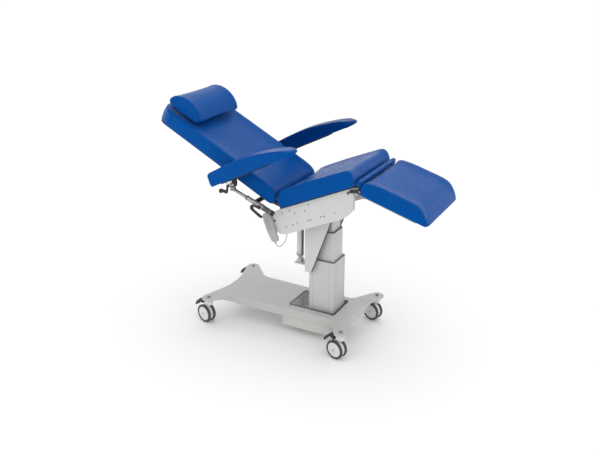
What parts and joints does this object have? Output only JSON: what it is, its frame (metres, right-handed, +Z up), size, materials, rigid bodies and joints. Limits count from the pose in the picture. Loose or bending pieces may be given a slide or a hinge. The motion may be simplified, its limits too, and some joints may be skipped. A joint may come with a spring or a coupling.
{
  "type": "treatment couch",
  "caption": "Height-adjustable treatment couch with castor base, lifting column, tilting seat, reclining back, leg rest, pillow, arm rests and handset.",
  "frame": {"origin": "centre of the bounding box in plan, on the floor", "axes": "+X towards the foot end, along the couch; +Y to the far side; +Z up"},
  "size_m": [1.8338, 0.81, 1.5004],
  "materials": {
    "painted_steel": "light grey powder coat",
    "painted_frame": "grey board and rails",
    "aluminium": "satin anodised",
    "bright_steel": "polished",
    "blue_vinyl": "smooth blue upholstery vinyl",
    "black_plastic": "matt black",
    "tyre": "matt grey rubber",
    "pale_plastic": "pale grey moulding",
    "grey_plastic": "mid grey moulding",
    "cord_rubber": "grey cord"
  },
  "bodies": {
    "base": {"base_deck": "painted_steel", "well_box": "painted_steel", "opening_trim": "black_plastic", "column_outer": "aluminium"},
    "column_mid": {"column_middle": "aluminium"},
    "lift_head": {"column_inner": "aluminium", "column_bracket": "painted_steel"},
    "tilt_tube": {"tilt_actuator_tube": "aluminium"},
    "tilt_rod": {"tilt_actuator_rod": "bright_steel"},
    "seat": {"seat_shaft": "bright_steel", "side_plate_near": "painted_steel", "side_plate_far": "painted_steel", "seat_pan": "black_plastic", "seat_cushion": "blue_vinyl", "handset": "grey_plastic", "handset_cord": "cord_rubber", "handset_socket": "black_plastic"},
    "back": {"back_frame": "painted_frame", "back_cushion": "blue_vinyl", "arm_sleeve_near": "bright_steel", "arm_sleeve_far": "bright_steel"},
    "back_tube": {"back_actuator_tube": "aluminium"},
    "back_rod": {"back_actuator_rod": "bright_steel"},
    "leg": {"leg_frame": "painted_frame", "leg_cushion": "blue_vinyl"},
    "leg_tube": {"leg_actuator_tube": "aluminium"},
    "leg_rod": {"leg_actuator_rod": "bright_steel"},
    "pillow": {"head_pillow": "blue_vinyl"},
    "button_up": {"handset_button_up": "pale_plastic"},
    "button_down": {"handset_button_down": "pale_plastic"},
    "clamp_lever_near": {"clamp_lever_near": "black_plastic"},
    "arm_bar_near": {"arm_bar_near": "bright_steel"},
    "tilt_lever_near": {"tilt_lever_near": "black_plastic"},
    "arm_pad_near": {"arm_plate_near": "black_plastic", "arm_pad_near": "blue_vinyl"},
    "clamp_lever_far": {"clamp_lever_far": "black_plastic"},
    "arm_bar_far": {"arm_bar_far": "bright_steel"},
    "tilt_lever_far": {"tilt_lever_far": "black_plastic"},
    "arm_pad_far": {"arm_plate_far": "black_plastic", "arm_pad_far": "blue_vinyl"},
    "swivel_head_near": {"castor_head_near_housing": "pale_plastic"},
    "wheels_head_near": {"castor_head_near_hubs": "pale_plastic", "castor_head_near_tyre_inner": "tyre", "castor_head_near_tyre_outer": "tyre"},
    "pedal_head_near": {"castor_head_near_pedal": "black_plastic"},
    "swivel_head_far": {"castor_head_far_housing": "pale_plastic"},
    "wheels_head_far": {"castor_head_far_hubs": "pale_plastic", "castor_head_far_tyre_inner": "tyre", "castor_head_far_tyre_outer": "tyre"},
    "pedal_head_far": {"castor_head_far_pedal": "black_plastic"},
    "swivel_foot_near": {"castor_foot_near_housing": "pale_plastic"},
    "wheels_foot_near": {"castor_foot_near_hubs": "pale_plastic", "castor_foot_near_tyre_inner": "tyre", "castor_foot_near_tyre_outer": "tyre"},
    "pedal_foot_near": {"castor_foot_near_pedal": "black_plastic"},
    "swivel_foot_far": {"castor_foot_far_housing": "pale_plastic"},
    "wheels_foot_far": {"castor_foot_far_hubs": "pale_plastic", "castor_foot_far_tyre_inner": "tyre", "castor_foot_far_tyre_outer": "tyre"},
    "pedal_foot_far": {"castor_foot_far_pedal": "black_plastic"}
  },
  "joints": [
    {"name": "column_lower_slide", "type": "slide", "parent": "base", "child": "column_mid", "axis": [0, 0, 1], "range_m": [-0.078, 0.1]},
    {"name": "column_upper_slide", "type": "slide", "parent": "column_mid", "child": "lift_head", "axis": [0, 0, 1], "range_m": [-0.078, 0.1]},
    {"name": "seat_tilt", "type": "hinge", "parent": "lift_head", "child": "seat", "pos_m": [0.2014, 0, 0.85], "axis": [0, 1, 0], "range_deg": [0, 24]},
    {"name": "tilt_actuator_pivot", "type": "hinge", "parent": "lift_head", "child": "tilt_tube", "pos_m": [-0.0146, 0, 0.47], "axis": [0, 1, 0], "range_deg": [-1.25, 0.3]},
    {"name": "tilt_actuator_slide", "type": "slide", "parent": "tilt_tube", "child": "tilt_rod", "axis": [0.0152, 0, 0.9999], "range_m": [-0.001, 0.0907]},
    {"name": "back_recline", "type": "hinge", "parent": "seat", "child": "back", "pos_m": [-0.0376, 0, 0.93], "axis": [0, 1, 0], "range_deg": [-22, 10]},
    {"name": "back_actuator_pivot", "type": "hinge", "parent": "seat", "child": "back_tube", "pos_m": [0.3114, -0.165, 0.921], "axis": [0, 1, 0], "range_deg": [-0.69, 1.15]},
    {"name": "back_actuator_slide", "type": "slide", "parent": "back_tube", "child": "back_rod", "axis": [-0.976, 0, -0.2179], "range_m": [-0.0329, 0.0155]},
    {"name": "leg_lift", "type": "hinge", "parent": "seat", "child": "leg", "pos_m": [0.4194, 0, 1.06], "axis": [0, 1, 0], "range_deg": [-19, 30]},
    {"name": "leg_actuator_pivot", "type": "hinge", "parent": "seat", "child": "leg_tube", "pos_m": [0.1459, 0.165, 0.862], "axis": [0, 1, 0], "range_deg": [-0.9, 0.68]},
    {"name": "leg_actuator_slide", "type": "slide", "parent": "leg_tube", "child": "leg_rod", "axis": [0.9141, 0, 0.4056], "range_m": [-0.0361, 0.0232]},
    {"name": "pillow_slide", "type": "slide", "parent": "back", "child": "pillow", "axis": [0.887, 0, -0.4617], "range_m": [0, 0.12]},
    {"name": "clamp_near", "type": "hinge", "parent": "back", "child": "clamp_lever_near", "pos_m": [-0.1206, -0.3235, 0.9086], "axis": [0, 1, 0], "range_deg": [0, 60]},
    {"name": "arm_slide_near", "type": "slide", "parent": "back", "child": "arm_bar_near", "axis": [-0.9281, 0, 0.3723], "range_m": [-0.058, 0.06]},
    {"name": "arm_tilt_near", "type": "hinge", "parent": "arm_bar_near", "child": "arm_pad_near", "pos_m": [-0.3136, -0.335, 1.022], "axis": [0, 1, 0], "range_deg": [-15, 30]},
    {"name": "tilt_lock_near", "type": "hinge", "parent": "arm_bar_near", "child": "tilt_lever_near", "pos_m": [-0.3136, -0.361, 1.022], "axis": [0, 1, 0], "range_deg": [-35, 0]},
    {"name": "clamp_far", "type": "hinge", "parent": "back", "child": "clamp_lever_far", "pos_m": [-0.1206, 0.3235, 0.9086], "axis": [0, 1, 0], "range_deg": [0, 60]},
    {"name": "arm_slide_far", "type": "slide", "parent": "back", "child": "arm_bar_far", "axis": [-0.9281, 0, 0.3723], "range_m": [-0.058, 0.06]},
    {"name": "arm_tilt_far", "type": "hinge", "parent": "arm_bar_far", "child": "arm_pad_far", "pos_m": [-0.3136, 0.335, 1.022], "axis": [0, 1, 0], "range_deg": [-15, 30]},
    {"name": "tilt_lock_far", "type": "hinge", "parent": "arm_bar_far", "child": "tilt_lever_far", "pos_m": [-0.3136, 0.361, 1.022], "axis": [0, 1, 0], "range_deg": [-35, 0]},
    {"name": "button_up_press", "type": "slide", "parent": "seat", "child": "button_up", "axis": [0, 1, 0], "range_m": [0, 0.001], "stiffness_N_per_m": 800, "springref_m": -0.0002},
    {"name": "button_down_press", "type": "slide", "parent": "seat", "child": "button_down", "axis": [0, 1, 0], "range_m": [0, 0.001], "stiffness_N_per_m": 800, "springref_m": -0.0002},
    {"name": "swivel_head_near_turn", "type": "hinge", "parent": "base", "child": "swivel_head_near", "pos_m": [-0.5522, -0.279, 0.1], "axis": [0, 0, 1], "continuous": true},
    {"name": "wheels_head_near_roll", "type": "hinge", "parent": "swivel_head_near", "child": "wheels_head_near", "pos_m": [-0.58034, -0.27198, 0.0625], "axis": [0.2419, 0.9703, 0], "continuous": true},
    {"name": "pedal_head_near_press", "type": "hinge", "parent": "swivel_head_near", "child": "pedal_head_near", "pos_m": [-0.59489, -0.26836, 0.147], "axis": [-0.2419, -0.9703, 0], "range_deg": [0, 15]},
    {"name": "swivel_head_far_turn", "type": "hinge", "parent": "base", "child": "swivel_head_far", "pos_m": [-0.5522, 0.279, 0.1], "axis": [0, 0, 1], "continuous": true},
    {"name": "wheels_head_far_roll", "type": "hinge", "parent": "swivel_head_far", "child": "wheels_head_far", "pos_m": [-0.58034, 0.28602, 0.0625], "axis": [0.2419, 0.9703, 0], "continuous": true},
    {"name": "pedal_head_far_press", "type": "hinge", "parent": "swivel_head_far", "child": "pedal_head_far", "pos_m": [-0.59489, 0.28964, 0.147], "axis": [-0.2419, -0.9703, 0], "range_deg": [0, 15]},
    {"name": "swivel_foot_near_turn", "type": "hinge", "parent": "base", "child": "swivel_foot_near", "pos_m": [0.415, -0.279, 0.1], "axis": [0, 0, 1], "continuous": true},
    {"name": "wheels_foot_near_roll", "type": "hinge", "parent": "swivel_foot_near", "child": "wheels_foot_near", "pos_m": [0.38686, -0.27198, 0.0625], "axis": [0.2419, 0.9703, 0], "continuous": true},
    {"name": "pedal_foot_near_press", "type": "hinge", "parent": "swivel_foot_near", "child": "pedal_foot_near", "pos_m": [0.37231, -0.26836, 0.147], "axis": [-0.2419, -0.9703, 0], "range_deg": [0, 15]},
    {"name": "swivel_foot_far_turn", "type": "hinge", "parent": "base", "child": "swivel_foot_far", "pos_m": [0.415, 0.279, 0.1], "axis": [0, 0, 1], "continuous": true},
    {"name": "wheels_foot_far_roll", "type": "hinge", "parent": "swivel_foot_far", "child": "wheels_foot_far", "pos_m": [0.38686, 0.28602, 0.0625], "axis": [0.2419, 0.9703, 0], "continuous": true},
    {"name": "pedal_foot_far_press", "type": "hinge", "parent": "swivel_foot_far", "child": "pedal_foot_far", "pos_m": [0.37231, 0.28964, 0.147], "axis": [-0.2419, -0.9703, 0], "range_deg": [0, 15]}
  ],
  "couplings": [
    {"joint": "column_upper_slide", "follows": "column_lower_slide", "ratio": 1},
    {"joint": "tilt_actuator_pivot", "follows": "seat_tilt", "ratio": -0.03946},
    {"joint": "tilt_actuator_slide", "follows": "seat_tilt", "m_per_rad": 0.21409},
    {"joint": "back_actuator_pivot", "follows": "back_recline", "ratio": -0.03876},
    {"joint": "back_actuator_slide", "follows": "back_recline", "m_per_rad": 0.08302},
    {"joint": "leg_actuator_pivot", "follows": "leg_lift", "ratio": -0.02013},
    {"joint": "leg_actuator_slide", "follows": "leg_lift", "m_per_rad": -0.0671}
  ]
}
